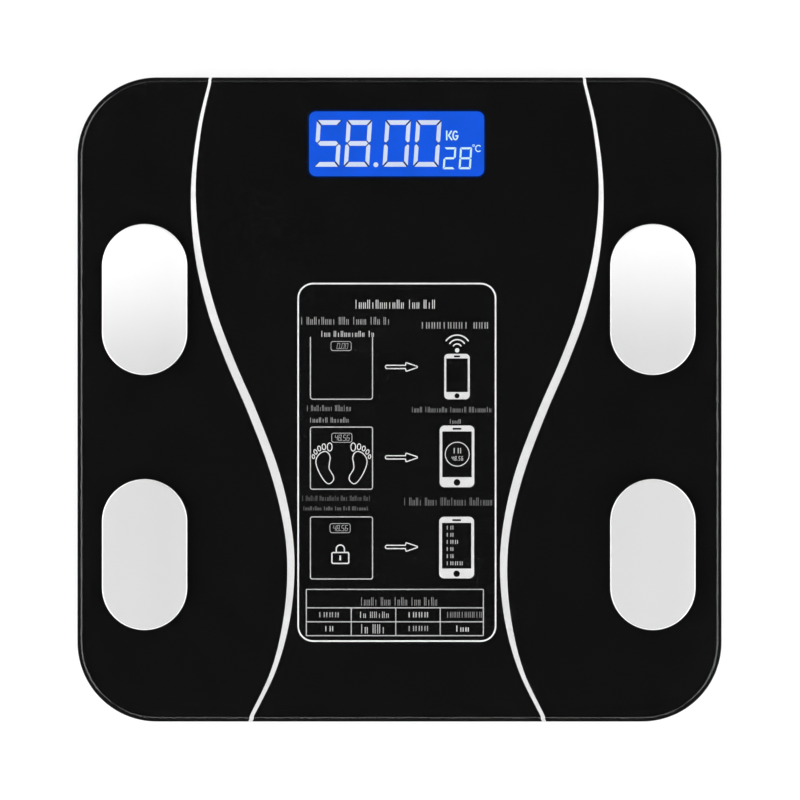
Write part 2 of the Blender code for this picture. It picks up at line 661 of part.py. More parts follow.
def battery_contacts():
    """Plates at the bay's ends, a bridge on the left and two on the right, and two cone springs."""
    half = 4.4 * MM
    low, high = 8 * MM, 16.5 * MM
    front, rear = BAY_Y - BATTERY_PITCH / 2, BAY_Y + BATTERY_PITCH / 2
    bridge = node("battery_contact_bridge", box_mesh("bridge", (-CONTACT_X - CONTACT, front - half, low),
                                                     (-CONTACT_X, rear + half, high)), brass())
    positive = node("battery_contact_positive", box_mesh("positive", (CONTACT_X, front - half, low),
                                                         (CONTACT_X + CONTACT, front + half, high)), brass())
    node("battery_contact_negative", box_mesh("negative", (CONTACT_X, rear - half, low),
                                              (CONTACT_X + CONTACT, rear + half, high)), brass())
    dimple = CONTACT_X - (BATTERY_SHIFT + (BATTERY_BODY + BATTERY_NUB[1]) / 2) - GAP
    for plate, y, way in ((bridge, rear, 1), (positive, front, -1)):
        bump = tool(f"{plate.name}_dimple", disc_mesh("dimple", (0, 0), 2.2 * MM, -0.2 * MM, dimple, 16))
        bump.rotation_euler = (0, way * pi / 2, 0)
        bump.location = (-way * CONTACT_X, y, BATTERY_Z)
        boolean(plate, [bump], "UNION")
    start = (BATTERY_BODY + BATTERY_NUB[1]) / 2 - BATTERY_SHIFT + 2 * GAP
    for name, y, way in (("contact_spring_front", front, -1), ("contact_spring_rear", rear, 1)):
        tube(name, cone_spring(start, CONTACT_X - 2 * GAP, way, y), 0.25 * MM, steel())


def cone_spring(start, end, way, y):
    """Points along a cone spring, narrow at the cell and wide at the plate."""
    turns, per_turn = 2.5, 8
    points = []
    steps = round(turns * per_turn)
    for step in range(steps + 1):
        t = step / steps
        radius = (1.8 + 2.0 * t) * MM
        angle = 2 * pi * turns * t
        points.append(Vector((way * (start + (end - start) * t), y + radius * cos(angle),
                              BATTERY_Z + radius * sin(angle))))
    return points


def battery_door():
    """The door in the shell's underside. It turns down about its rear lower edge, where two hooks hold it."""
    hinge = bpy.data.objects.new("door_hinge", None)
    bpy.context.scene.collection.objects.link(hinge)
    hinge.location = (0, HINGE_Y, SHELL_BOTTOM)
    outline = moved(rounded_rectangle(*DOOR_SIZE, 0.8 * MM, 2), (0, -DOOR_SIZE[1] / 2))
    made = node("battery_door", plate_mesh("battery_door", outline, 0, DOOR), shell_plastic())
    hook_low = FLOOR + GAP
    adders = []
    for side in (-1, 1):
        x = side * 15 * MM
        hook_top = hook_low + MM
        adders.append(box_mesh("neck", (x - 3 * MM, -1.5 * MM, DOOR - 0.5 * MM), (x + 3 * MM, 0, hook_top)))
        adders.append(box_mesh("hook", (x - 3 * MM, -MM, hook_low), (x + 3 * MM, 1.6 * MM, hook_top)))
    back = -DOOR_SIZE[1]
    adders.append(box_mesh("latch", (-5 * MM, back + 0.5 * MM, DOOR - 0.5 * MM),
                           (5 * MM, back + 1.3 * MM, 4.5 * MM)))
    for line in range(3):
        y = back + (3 + 2 * line) * MM
        adders.append(box_mesh("grip", (-7 * MM, y, -GAP), (7 * MM, y + 0.8 * MM, 0.5 * MM)))
    adders = [tool(f"door_part_{k}", mesh) for k, mesh in enumerate(adders)]
    boolean(made, adders, "UNION")
    for each in [made, *adders]:
        each.parent = hinge


# ---------------------------------------------------------------- leads


def leads():
    """Wires from the load cells, the electrodes and the battery contacts to the board's edge."""
    end_z = BOARD_TOP + 1.1 * MM
    routes = {
        "load_cell_lead_rear": [(90, 100, 12.6), (85, 100, 13.7), (71, 101, 13.7), (60, 106, 14.2),
                                (54, 108, None), (47, 108, None)],
        "load_cell_lead_front": [(90, -86, 12.6), (89, -81, 13.7), (86, -67, 13.7), (82, -58, 8.3),
                                 (82, 50, 8.3), (78, 58, 8.3), (60, 66, 8.3), (54, 74, 10),
                                 (53, 81, 14.6), (47, 84, None)],
        "electrode_lead_rear": [(102.5, 40.3, 17.1), (96, 44, 16.2), (72, 58, 16), (59, 92, None),
                                (54, 100, None), (47, 100, None)],
        "electrode_lead_front": [(102.5, -62.5, 17.1), (92, -56, 16), (66, -40, 15), (66, 50, 15),
                                 (56, 84, 15.2), (54, 92, None), (47, 92, None)],
    }
    for name, route in routes.items():
        for side, sx in SIDES.items():
            corners = [Vector((sx * x * MM, y * MM, z * MM if z else end_z)) for x, y, z in route]
            colour = "white" if name.startswith("load") else "black"
            tube(f"{name}_{side}", rounded_path(corners, 6 * MM), 0.7 * MM, wire_jacket(colour))
    for colour, y, x, board_x in (("red", BAY_Y - BATTERY_PITCH / 2, 38 * MM, 36 * MM),
                                  ("black", BAY_Y + BATTERY_PITCH / 2, 32 * MM, 30 * MM)):
        start = CONTACT_X + CONTACT + GAP + 0.1 * MM
        corners = [(start, y, 14.5 * MM), (start + 4 * MM, y, 14.5 * MM), (x, y + 5 * MM, 14.5 * MM),
                   (x, 62 * MM, 14.5 * MM), (board_x, 70 * MM, end_z), (board_x, 78 * MM, end_z)]
        name = {"red": "battery_lead_positive", "black": "battery_lead_negative"}[colour]
        tube(name, rounded_path(corners, 4 * MM), 0.7 * MM, wire_jacket(colour))


empty_scene()
glass_platform()
electrodes()
bonding_tape()
base_shell()
load_cells()
load_cell_retainers()
feet()
screws()
main_board()
display()
board_parts()
unit_button()
batteries()
battery_contacts()
battery_door()
leads()
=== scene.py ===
"""The looks of a digital bathroom scale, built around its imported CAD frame.

Lengths are in millimetres unless they say otherwise, and angles are in degrees.
"""

import json
from math import cos, hypot, pi, radians, sin, tan

import bmesh
import bpy
from mathutils import Matrix, Vector


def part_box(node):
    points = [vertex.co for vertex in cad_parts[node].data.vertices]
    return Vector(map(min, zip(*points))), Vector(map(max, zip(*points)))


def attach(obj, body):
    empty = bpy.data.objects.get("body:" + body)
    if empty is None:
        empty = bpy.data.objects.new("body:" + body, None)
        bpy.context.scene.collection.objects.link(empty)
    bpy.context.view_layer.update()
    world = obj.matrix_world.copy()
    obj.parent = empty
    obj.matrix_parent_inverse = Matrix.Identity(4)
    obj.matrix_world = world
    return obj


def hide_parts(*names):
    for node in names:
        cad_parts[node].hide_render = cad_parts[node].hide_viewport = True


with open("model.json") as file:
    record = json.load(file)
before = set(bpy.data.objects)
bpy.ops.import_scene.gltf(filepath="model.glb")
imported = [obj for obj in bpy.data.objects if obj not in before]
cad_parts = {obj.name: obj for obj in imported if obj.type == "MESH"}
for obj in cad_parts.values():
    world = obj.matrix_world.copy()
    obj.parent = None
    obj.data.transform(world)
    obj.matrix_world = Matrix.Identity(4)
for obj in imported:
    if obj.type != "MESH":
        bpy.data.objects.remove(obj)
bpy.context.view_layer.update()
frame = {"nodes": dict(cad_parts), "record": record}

MM = 0.001
ENDS = ("front", "rear")
CORNERS = [f"{end}_{side}" for end in ENDS for side in ("left", "right")]


def extent(node):
    """The lowest and highest corners of a CAD node."""
    low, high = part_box(node)
    return low / MM, high / MM


# the glass and the electrodes' studs
GLASS_LOW, GLASS_HIGH = extent("glass_platform")
GLASS_SIZE, GLASS_CORNER = GLASS_HIGH.x - GLASS_LOW.x, 32.0
GLASS_BOTTOM, GLASS_TOP = GLASS_LOW.z, GLASS_HIGH.z
STUD_RADIUS, STUD_HOLE = 1.5, 2.0

# the layers between the display and the glass, each (lowest, highest)
SHADE_Z = (GLASS_BOTTOM - 0.29, GLASS_BOTTOM - 0.27)
DIGIT_Z = (GLASS_BOTTOM - 0.26, GLASS_BOTTOM - 0.22)
BLACK_Z = (GLASS_BOTTOM - 0.17, GLASS_BOTTOM - 0.13)
WHITE_Z = (GLASS_BOTTOM - 0.10, GLASS_BOTTOM - 0.06)

# the printed artwork's own middle line lies a little left of the glass's
AXIS = -0.9

# where most of a noise texture's values lie
NOISE_LOW, NOISE_HIGH = 0.3, 0.7

# how far behind the object's middle the painted light on a finish starts to rise, and where it is at full
# strength
PAINTED_LIGHT_SPAN = (11, 67)


# ---------------------------------------------------------------- materials


def principled(name):
    """A new material, its node tree and its shader."""
    made = bpy.data.materials.new(name)
    made.use_nodes = True
    return made, made.node_tree, made.node_tree.nodes["Principled BSDF"]


def noise(tree, scale, detail=3.0, stretch=(1, 1, 1)):
    """The output of a noise texture in the object's own coordinates. Scale is in cells per metre."""
    place = tree.nodes.new("ShaderNodeTexCoord")
    mapping = tree.nodes.new("ShaderNodeMapping")
    mapping.inputs["Scale"].default_value = stretch
    texture = tree.nodes.new("ShaderNodeTexNoise")
    texture.inputs["Scale"].default_value = scale
    texture.inputs["Detail"].default_value = detail
    tree.links.new(place.outputs["Object"], mapping.inputs["Vector"])
    tree.links.new(mapping.outputs["Vector"], texture.inputs["Vector"])
    return texture.outputs["Fac"]


def ramp(tree, value, stops):
    """A colour ramp over a value, from (position, colour) pairs."""
    made = tree.nodes.new("ShaderNodeValToRGB")
    while len(made.color_ramp.elements) < len(stops):
        made.color_ramp.elements.new(0.5)
    for element, (position, colour) in zip(made.color_ramp.elements, stops):
        element.position = position
        element.color = (*colour, 1)
    tree.links.new(value, made.inputs["Fac"])
    return made.outputs["Color"]


def spread(tree, value, low, high):
    """A noise value stretched to a range."""
    made = tree.nodes.new("ShaderNodeMapRange")
    made.inputs["From Min"].default_value = NOISE_LOW
    made.inputs["From Max"].default_value = NOISE_HIGH
    made.inputs["To Min"].default_value = low
    made.inputs["To Max"].default_value = high
    tree.links.new(value, made.inputs["Value"])
    return made.outputs["Result"]


def surface(
    name,
    colour,
    roughness,
    metallic=0.0,
    blotch=60,
    vary=0.05,
    rough_vary=0.06,
    grain=None,
    depth=0.0,
    stretch=(1, 1, 1),
    specular=0.5,
    coat=0.0,
):
    """An everyday surface: its colour and roughness drift a little, and a fine grain stands in relief.

    Blotch and grain are in cells per metre.
    """
    made, tree, shader = principled(name)
    patches = noise(tree, blotch, stretch=stretch)
    stops = [
        (at, [min(1, c * (1 + by)) for c in colour])
        for at, by in ((NOISE_LOW, -vary), (NOISE_HIGH, vary))
    ]
    tree.links.new(ramp(tree, patches, stops), shader.inputs["Base Color"])
    tree.links.new(
        spread(tree, patches, roughness - rough_vary, roughness + rough_vary),
        shader.inputs["Roughness"],
    )
    shader.inputs["Metallic"].default_value = metallic
    shader.inputs["Specular IOR Level"].default_value = specular
    shader.inputs["Coat Weight"].default_value = coat
    if grain:
        bump = tree.nodes.new("ShaderNodeBump")
        bump.inputs["Strength"].default_value = 0.6
        bump.inputs["Distance"].default_value = depth * MM
        tree.links.new(
            noise(tree, grain, 2.0, stretch), bump.inputs["Height"]
        )
        tree.links.new(bump.outputs["Normal"], shader.inputs["Normal"])
    return made


def painted_rear_light(finish, front_level, tilt=0.0):
    """Paints light into a finish's colour: full at the rear, darkened towards the front by the given share, a
    painted shade standing for the light that falls stronger on the rear half.

    A tilt moves the change forwards on the left and back on the right, in proportion to the distance.
    """
    tree = finish.node_tree
    shader = tree.nodes["Principled BSDF"]
    plain = shader.inputs["Base Color"].links[0].from_socket
    place = tree.nodes.new("ShaderNodeTexCoord")
    split = tree.nodes.new("ShaderNodeSeparateXYZ")
    slant = tree.nodes.new("ShaderNodeMath")
    slant.operation = "MULTIPLY_ADD"
    slant.inputs[1].default_value = -tilt
    reach = tree.nodes.new("ShaderNodeMapRange")
    reach.interpolation_type = "SMOOTHSTEP"
    reach.inputs["From Min"].default_value = PAINTED_LIGHT_SPAN[0] * MM
    reach.inputs["From Max"].default_value = PAINTED_LIGHT_SPAN[1] * MM
    reach.inputs["To Min"].default_value = front_level
    reach.inputs["To Max"].default_value = 1
    # painted light: the colour is multiplied by the rear-to-front fade
    mix = tree.nodes.new("ShaderNodeVectorMath")
    mix.operation = "MULTIPLY"
    tree.links.new(place.outputs["Object"], split.inputs["Vector"])
    tree.links.new(split.outputs["X"], slant.inputs[0])
    tree.links.new(split.outputs["Y"], slant.inputs[2])
    tree.links.new(slant.outputs["Value"], reach.inputs["Value"])
    tree.links.new(plain, mix.inputs[0])
    tree.links.new(reach.outputs["Result"], mix.inputs[1])
    tree.links.new(mix.outputs["Vector"], shader.inputs["Base Color"])
    return finish


def glow(name, low, high, blotch=90):
    """A backlit surface whose light drifts between two colours."""
    made, tree, shader = principled(name)
    light = ramp(tree, noise(tree, blotch), [(0.35, low), (0.65, high)])
    tree.links.new(light, shader.inputs["Emission Color"])
    shader.inputs["Emission Strength"].default_value = 1
    shader.inputs["Base Color"].default_value = (0.002, 0.002, 0.002, 1)
    shader.inputs["Roughness"].default_value = 0.7
    shader.inputs["Specular IOR Level"].default_value = 0
    return made


def clear_glass():
    """Polished glass that lets light straight through to what is under it."""
    made, tree, shader = principled("platform_glass")
    shader.inputs["Base Color"].default_value = (1, 1, 1, 1)
    shader.inputs["Transmission Weight"].default_value = 1
    shader.inputs["IOR"].default_value = 1.5
    shader.inputs["Roughness"].default_value = 0
    path = tree.nodes.new("ShaderNodeLightPath")
    clear = tree.nodes.new("ShaderNodeBsdfTransparent")
    mix = tree.nodes.new("ShaderNodeMixShader")
    tree.links.new(path.outputs["Is Shadow Ray"], mix.inputs[0])
    tree.links.new(shader.outputs["BSDF"], mix.inputs[1])
    tree.links.new(clear.outputs["BSDF"], mix.inputs[2])
    tree.links.new(mix.outputs["Shader"], tree.nodes["Material Output"].inputs["Surface"])
    return made


def ink(name, grey, vary=0.10):
    """A matt print of one grey."""
    return surface(name, (grey, grey, grey), 0.7, vary=vary, specular=0.0)


GLASS = clear_glass()
BLACK_INK = surface("black_ink", (0.0036, 0.0036, 0.0036), 0.6, vary=0.1, specular=0.0)
# painted light: the white curves are painted darker towards the front, standing for the light that falls
# stronger on the rear half
WHITE_INK = painted_rear_light(ink("white_ink", 0.68, 0.01), 0.80)
FRAME_INK = ink("frame_ink", 0.66, 0.02)
SIGN_INK = ink("sign_ink", 0.58, 0.03)
PHONE_INK = ink("phone_ink", 0.53, 0.02)
LINE_INK = ink("line_ink", 0.42, 0.03)
TITLE_INK = ink("title_ink", 0.50)
LIST_INK = ink("list_ink", 0.38)
WORD_INK = ink("word_ink", 0.27)
SMALL_INK = ink("small_ink", 0.19)
DIM_INK = ink("dim_ink", 0.15)
FAINT_INK = ink("faint_ink", 0.11)
NAVY_INK = surface("navy_ink", (0.0008, 0.006, 0.036), 0.6, vary=0.1, specular=0.0)
# painted light: the plates are painted brighter at the rear and darker in front, the change set further back
# on the right, standing for how the studio light falls on them
ELECTRODE_STEEL = painted_rear_light(
    surface(
        "electrode_steel",
        (0.90, 0.90, 0.90),
        0.42,
        metallic=0.5,
        blotch=35,
        vary=0.006,
        rough_vary=0.02,
        grain=2500,
        depth=0.004,
        stretch=(1, 0.05, 1),
    ),
    0.70,
    tilt=0.04,
)
ELECTRODE_RIM = surface(
    "electrode_rim", (0.93, 0.93, 0.93), 0.30, metallic=0.6, vary=0.01, rough_vary=0.02
)
BLUE_LIGHT = glow("display_blue", (0.0062, 0.096, 0.75), (0.0072, 0.104, 0.84))
DIGIT_LIGHT = glow("digit_light", (0.66, 0.75, 0.94), (0.72, 0.80, 0.99), blotch=60)
MARK_LIGHT = glow("mark_light", (0.66, 0.94, 1.0), (0.73, 0.99, 1.0), blotch=60)
DIGIT_SHADE = glow("digit_shade", (0.001, 0.012, 0.07), (0.002, 0.016, 0.10), blotch=60)
SHELL = surface(
    "shell_abs",
    (0.030, 0.030, 0.032),
    0.48,
    grain=1600,
    depth=0.03,
    vary=0.05,
    blotch=25,
)
INNER_SHELL = surface(
    "inner_abs", (0.032, 0.032, 0.034), 0.50, grain=1400, depth=0.02
)
FOAM = surface("foam_tape", (0.025, 0.025, 0.025), 0.9, grain=3500, depth=0.06)
RUBBER = surface(
    "pad_rubber", (0.045, 0.045, 0.046), 0.82, grain=2200, depth=0.05, vary=0.10
)
STAMPED_STEEL = surface(
    "stamped_steel",
    (0.60, 0.60, 0.58),
    0.34,
    metallic=1.0,
    grain=1800,
    depth=0.01,
    stretch=(1, 0.06, 1),
)
SCREW_STEEL = surface(
    "screw_steel", (0.62, 0.62, 0.60), 0.28, metallic=1.0, grain=1500, depth=0.01
)
LAMINATE = surface(
    "board_laminate",
    (0.012, 0.13, 0.045),
    0.38,
    grain=1100,
    depth=0.02,
    vary=0.14,
    blotch=220,
)
LIGHT_GUIDE = surface("light_guide", (0.75, 0.80, 0.85), 0.25, vary=0.02)
ELASTOMER = surface("elastomer", (0.45, 0.40, 0.35), 0.7, grain=2500, depth=0.02)
EPOXY = surface("epoxy", (0.01, 0.01, 0.01), 0.32, grain=300, depth=0.05)
CAN_STEEL = surface(
    "module_can", (0.62, 0.62, 0.60), 0.36, metallic=1.0, grain=2200, depth=0.01
)
SWITCH = surface("switch_plastic", (0.03, 0.03, 0.03), 0.4, grain=2500, depth=0.01)
BUTTON = surface("button_abs", (0.12, 0.12, 0.13), 0.34, grain=2200, depth=0.012)
SLEEVE = surface(
    "battery_sleeve", (0.03, 0.14, 0.08), 0.30, vary=0.08, blotch=120, coat=0.4
)
CONTACT = surface(
    "contact_nickel",
    (0.70, 0.66, 0.55),
    0.26,
    metallic=1.0,
    grain=1800,
    depth=0.008,
    vary=0.05,
)
WHITE_WIRE = surface("white_wire", (0.72, 0.72, 0.70), 0.42, vary=0.04)
BLACK_WIRE = surface("black_wire", (0.02, 0.02, 0.02), 0.40, vary=0.10)
RED_WIRE = surface("red_wire", (0.50, 0.02, 0.02), 0.40, vary=0.08)
LABEL = surface("label_film", (0.55, 0.55, 0.56), 0.45, vary=0.03, blotch=30)
LABEL_INK = surface("label_ink", (0.05, 0.05, 0.05), 0.5, vary=0.08)
FLOOR = surface("studio_floor", (0.33, 0.33, 0.33), 0.8, blotch=2, vary=0.01)


def paint(node, finish):
    """A CAD node takes a finish."""
    mesh = frame["nodes"][node].data
    mesh.materials.clear()
    mesh.materials.append(finish)


for node_names, node_finish in (
    (["base_shell", "battery_door"], SHELL),
    (["lcd_frame"], INNER_SHELL),
    ([f"{n}_{c}" for n in ("load_cell_retainer", "foot") for c in CORNERS], INNER_SHELL),
    (["bonding_tape"], FOAM),
    ([f"foot_pad_{c}" for c in CORNERS], RUBBER),
    ([f"load_cell_{c}" for c in CORNERS], STAMPED_STEEL),
    (
        [f"{n}_{c}" for n in ("retainer_screw", "board_screw") for c in CORNERS],
        SCREW_STEEL,
    ),
    (["main_board"], LAMINATE),
    (["lcd_panel"], BLUE_LIGHT),
    (["lcd_backlight"], LIGHT_GUIDE),
    (["lcd_connector"], ELASTOMER),
    (["controller_chip"], EPOXY),
    (["wireless_module"], CAN_STEEL),
    (["tact_switch"], SWITCH),
    (["unit_button"], BUTTON),
    (["battery_front", "battery_rear"], SLEEVE),
    (
        [f"battery_contact_{n}" for n in ("bridge", "positive", "negative")]
        + [f"contact_spring_{n}" for n in ("front", "rear")],
        CONTACT,
    ),
    ([f"load_cell_lead_{c}" for c in CORNERS], WHITE_WIRE),
    ([f"electrode_lead_{c}" for c in CORNERS] + ["battery_lead_negative"], BLACK_WIRE),
    (["battery_lead_positive"], RED_WIRE),
):
    for node_name in node_names:
        paint(node_name, node_finish)


# ------------------------------------------------------------------- shapes


def show(name, mesh, finish, body="housing"):
    """A new piece of the object, from a mesh in metres."""
    mesh.materials.clear()
    mesh.materials.append(finish)
    made = bpy.data.objects.new(name, mesh)
    bpy.context.scene.collection.objects.link(made)
    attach(made, body)
    return made


def rounded(x, y, width, height, radius, steps=8):
    """The points of a rounded rectangle, anticlockwise."""
    points = []
    for turn, (a, b) in enumerate(((1, 1), (-1, 1), (-1, -1), (1, -1))):
        cx, cy = x + a * (width / 2 - radius), y + b * (height / 2 - radius)
        for step in range(steps + 1):
            angle = pi / 2 * (turn + step / steps)
            points.append((cx + radius * cos(angle), cy + radius * sin(angle)))
    return points


def oval(x, y, across, along, turn=0.0, steps=24):
    """The points of an ellipse with those radii, anticlockwise, turned by an angle."""
    c, s = cos(radians(turn)), sin(radians(turn))
    points = []
    for step in range(steps):
        angle = 2 * pi * step / steps
        u, v = across * cos(angle), along * sin(angle)
        points.append((x + u * c - v * s, y + u * s + v * c))
    return points


def arc(x, y, across, along, first, last, step):
    """Points on an ellipse with those radii, from one angle to another."""
    past = last + (1 if step > 0 else -1)
    return [
        (x + across * cos(radians(a)), y + along * sin(radians(a)))
        for a in range(first, past, step)
    ]


def loft(rings):
    """A closed solid through rings of one count, the lowest first, with its ends filled."""
    made = bmesh.new()
    loops = [[made.verts.new(Vector(p) * MM) for p in ring] for ring in rings]
    for lower, upper in zip(loops, loops[1:]):
        for i in range(len(lower)):
            j = (i + 1) % len(lower)
            made.faces.new((lower[i], lower[j], upper[j], upper[i]))
    made.faces.new(loops[0][::-1])
    made.faces.new(loops[-1])
    return made


def finished(made, name, sharp=40):
    """The mesh of a bmesh, smooth except over its edges of that many degrees or more."""
    mesh = bpy.data.meshes.new(name)
    made.to_mesh(mesh)
    made.free()
    mesh.shade_smooth()
    mesh.set_sharp_from_angle(angle=radians(sharp))
    return mesh


def baked(made):
    """The mesh that an object's curve or modifiers give. The object itself is dropped."""
    bpy.context.scene.collection.objects.link(made)
    bpy.context.view_layer.update()
    mesh = bpy.data.meshes.new_from_object(
        made.evaluated_get(bpy.context.evaluated_depsgraph_get())
    )
    bpy.data.objects.remove(made)
    return mesh


def flat(name, loops, layer, finish):
    """A thin flat piece inside some loops. A loop within another is a hole in it."""
    curve = bpy.data.curves.new(name, "CURVE")
    curve.dimensions = "2D"
    curve.fill_mode = "BOTH"
    curve.extrude = (layer[1] - layer[0]) / 2
    for loop in loops:
        spline = curve.splines.new("POLY")
        spline.points.add(len(loop) - 1)
        for point, (x, y) in zip(spline.points, loop):
            point.co = (x, y, 0, 1)
        spline.use_cyclic_u = True
    mesh = baked(bpy.data.objects.new(name, curve))
    mesh.transform(
        Matrix.Scale(MM, 4) @ Matrix.Translation((0, 0, (layer[0] + layer[1]) / 2))
    )
    made = bmesh.new()
    made.from_mesh(mesh)
    bmesh.ops.remove_doubles(made, verts=made.verts, dist=1e-7)
    made.to_mesh(mesh)
    made.free()
    mesh.name = name
    return show(name, mesh, finish)


def stroke(points, width, closed=False, ends=5):
    """The outline of a pen line of that width: two loops for a closed line, or one with round ends."""
    count = len(points)

    def unit(a, b):
        length = hypot(b[0] - a[0], b[1] - a[1])
        return (b[0] - a[0]) / length, (b[1] - a[1]) / length

    left, right = [], []
    for i, (x, y) in enumerate(points):
        ahead = (
            unit(points[i], points[(i + 1) % count])
            if closed or i < count - 1
            else unit(points[i - 1], points[i])
        )
        behind = unit(points[i - 1], points[i]) if closed or i else ahead
        blend = 1 + ahead[0] * behind[0] + ahead[1] * behind[1]
        nx, ny = -(ahead[1] + behind[1]) / blend, (ahead[0] + behind[0]) / blend
        left.append((x + nx * width / 2, y + ny * width / 2))
        right.append((x - nx * width / 2, y - ny * width / 2))
    if closed:
        return [left, right]

    def cap(middle, first):
        out = []
        for step in range(1, ends):
            c, s = cos(-pi * step / ends), sin(-pi * step / ends)
            dx, dy = first[0] - middle[0], first[1] - middle[1]
            out.append((middle[0] + dx * c - dy * s, middle[1] + dx * s + dy * c))
        return out

    return [left + cap(points[-1], left[-1]) + right[::-1] + cap(points[0], right[0])]


def smooth_loop(knots, steps=6):
    """A smooth closed line through some points."""
    points = []
    count = len(knots)
    for i in range(count):
        a, b, c, d = (knots[(i + k) % count] for k in (-1, 0, 1, 2))
        for step in range(steps):
            t = step / steps
            points.append(
                tuple(
                    0.5
                    * (
                        2 * b[k]
                        + (c[k] - a[k]) * t
                        + (2 * a[k] - 5 * b[k] + 4 * c[k] - d[k]) * t**2
                        + (3 * b[k] - a[k] - 3 * c[k] + d[k]) * t**3
                    )
                    for k in (0, 1)
                )
            )
    return points


def outlined(loop_of, line):
    """A line along the inside of a shape. loop_of gives the shape shrunk by a distance."""
    return [loop_of(0), loop_of(line)]


def box_line(x, y, width, height, radius, line):
    """A rounded frame, its outer size given."""
    return outlined(
        lambda by: rounded(
            x, y, width - 2 * by, height - 2 * by, max(radius - by, 0.05)
        ),
        line,
    )


def open_box(x, y, width, height, radius, line):
    """A frame like box_line's, but with no top side."""
    half_width, half_height = (width - line) / 2, (height - line) / 2
    points = [(x - half_width, y + half_height)]
    for side, first in ((-1, 180), (1, 270)):
        middle = (x + side * (half_width - radius), y - half_height + radius)
        points += arc(*middle, radius, radius, first, first + 90, 15)
    points.append((x + half_width, y + half_height))
    return stroke(points, line, ends=3)


# ------------------------------------------------ plastic, rubber and batteries

BODY_OF = {
    node: body
    for body, nodes in frame["record"]["behaviour"]["bodies"].items()
    for node in nodes
}


def evened(node, finish, sharp=40):
    """A stand-in for a CAD node: the same shape, with its round stretches shaded smooth."""
    faceted = frame["nodes"][node].data
    mesh = bpy.data.meshes.new(node)
    mesh.from_pydata(
        [v.co for v in faceted.vertices], [], [f.vertices for f in faceted.polygons]
    )
    made = bmesh.new()
    made.from_mesh(mesh)
    bmesh.ops.remove_doubles(made, verts=made.verts, dist=1e-6)
    name = f"smooth_{node}"
    blank = bpy.data.objects.new(name, finished(made, name, sharp))
    normals = blank.modifiers.new("normals", "WEIGHTED_NORMAL")
    normals.mode, normals.keep_sharp = "FACE_AREA_WITH_ANGLE", True
    piece = show(name, baked(blank), finish, BODY_OF[node])
    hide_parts(node)


evened("base_shell", SHELL)
evened("bonding_tape", FOAM)
evened("unit_button", BUTTON)
for round_corner in CORNERS:
    evened(f"foot_{round_corner}", INNER_SHELL)
    evened(f"foot_pad_{round_corner}", RUBBER)
for round_end in ENDS:
    evened(f"battery_{round_end}", SLEEVE)
    evened(f"contact_spring_{round_end}", CONTACT, sharp=70)


# -------------------------------------------------- glass and electrodes


def glass_slab():
    """The platform: its top rolls off into a ground slope all round, and studs pass through its holes."""
    roll, slope, flat_from = 1.9, radians(35), 2.2  # radius, steepest angle, and how far in it ends
    nose, margin = 0.15, 0.04  # the radius of the outermost edge, and the steps beside a change
    drill = 14  # how deep the stud holes are cut, which is right through
    # each point of the edge is (how far in, how high), from the bottom up
    profile = [(0.7, GLASS_BOTTOM), (0.12, GLASS_BOTTOM + 0.45), (0, GLASS_BOTTOM + 0.8)]
    slope_low = GLASS_TOP - roll * (1 - cos(slope))
    inset_low = flat_from - roll * sin(slope)
    nose_inset = nose * (1 - sin(slope))
    nose_top = slope_low - (inset_low - nose_inset) * tan(slope)
    for step in range(7):
        angle = pi / 2 + (slope - pi / 2) * step / 6
        profile.append(
            (nose * (1 - sin(angle)), nose_top - nose * (cos(slope) - cos(angle)))
        )
    for inset in (nose_inset + margin, inset_low - margin):
        profile.append((inset, slope_low - (inset_low - inset) * tan(slope)))
    for step in range(17):
        angle = slope * (1 - step / 16)
        profile.append(
            (flat_from - roll * sin(angle), GLASS_TOP - roll * (1 - cos(angle)))
        )
    profile.append((flat_from + 0.2, GLASS_TOP))
    rings = []
    for inset, z in [(0.9, GLASS_BOTTOM)] + profile:
        size = GLASS_SIZE - 2 * inset
        loop = rounded(0, 0, size, size, GLASS_CORNER - inset, 32)
        rings.append([(x, y, z) for x, y in loop])
    mesh = finished(loft(rings), "platform_glass")
    cut = bmesh.new()
    for corner in CORNERS:
        low, high = extent(f"electrode_{corner}")
        bmesh.ops.create_cone(
            cut,
            cap_ends=True,
            segments=24,
            radius1=STUD_HOLE * MM,
            radius2=STUD_HOLE * MM,
            depth=drill * MM,
            matrix=Matrix.Translation((low + high) / 2 * MM),
        )
    cutter = bpy.data.objects.new("stud_holes", finished(cut, "stud_holes"))
    bpy.context.scene.collection.objects.link(cutter)
    blank = bpy.data.objects.new("platform_blank", mesh)
    holes = blank.modifiers.new("holes", "BOOLEAN")
    holes.operation, holes.solver, holes.object = "DIFFERENCE", "EXACT", cutter
    drilled = baked(blank)
    bpy.data.objects.remove(cutter)
    drilled.name = "platform_glass"
    drilled.shade_smooth()
    drilled.set_sharp_from_angle(angle=radians(40))
    for face in drilled.polygons:
        face.use_smooth = abs(face.normal.z) < 0.99999
    slab = show("platform_glass", drilled, GLASS)
    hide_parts("glass_platform")


